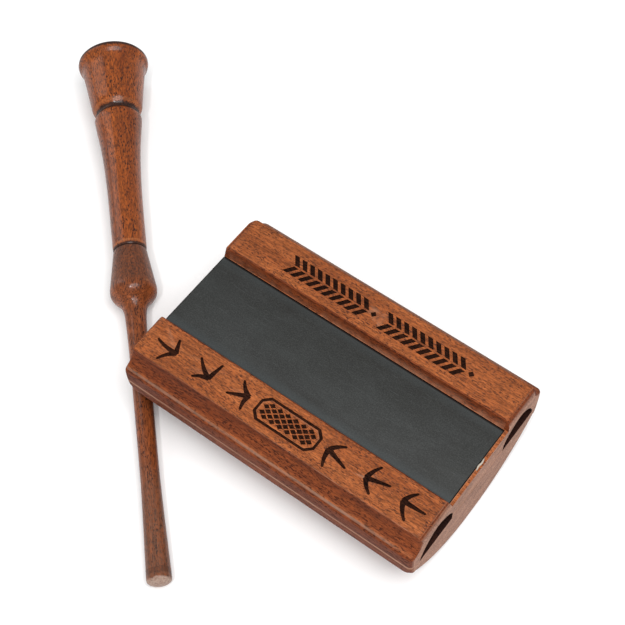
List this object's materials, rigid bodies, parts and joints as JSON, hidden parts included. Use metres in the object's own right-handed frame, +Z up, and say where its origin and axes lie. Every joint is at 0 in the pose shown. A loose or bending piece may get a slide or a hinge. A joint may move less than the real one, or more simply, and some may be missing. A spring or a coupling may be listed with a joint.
{
  "type": "box turkey call",
  "caption": "Rectangular hollow wooden call with a slate striking plate sunk between two grooved rails, and a separate turned wooden striker lying beside it.",
  "frame": {"origin": "middle of the narrow flat under the belly of the sound box", "axes": "+X along the sound box towards the end with the wooden lip, +Y across it towards the plain rail, +Z up out of the slate"},
  "size_m": [0.2236, 0.1639, 0.037],
  "materials": {
    "rail_wood": "oiled red-brown wood, burnt-in ornament",
    "belly_wood": "oiled red-brown wood",
    "slate": "matt, conditioned striking surface",
    "bedding_glue": "cured dark flexible adhesive",
    "board_wood": "sanded, unfinished",
    "pedestal_wood": "turned, unfinished",
    "striker_wood": "satin oiled, burnt ring",
    "shaft_wood": "satin oiled, worn dusty at the tip"
  },
  "bodies": {
    "call": {"rail_frame": "rail_wood", "belly": "belly_wood", "slate": "slate", "slate_bedding": "bedding_glue", "sound_board": "board_wood", "pedestal_left": "pedestal_wood", "pedestal_right": "pedestal_wood"},
    "striker": {"striker_handle": "striker_wood", "striker_shaft": "shaft_wood"}
  },
  "joints": [
    {"name": "striker_draw", "type": "slide", "parent": "call", "child": "striker", "axis": [-0.6978, 0.7163, 0], "range_m": [0, 0.15]}
  ]
}
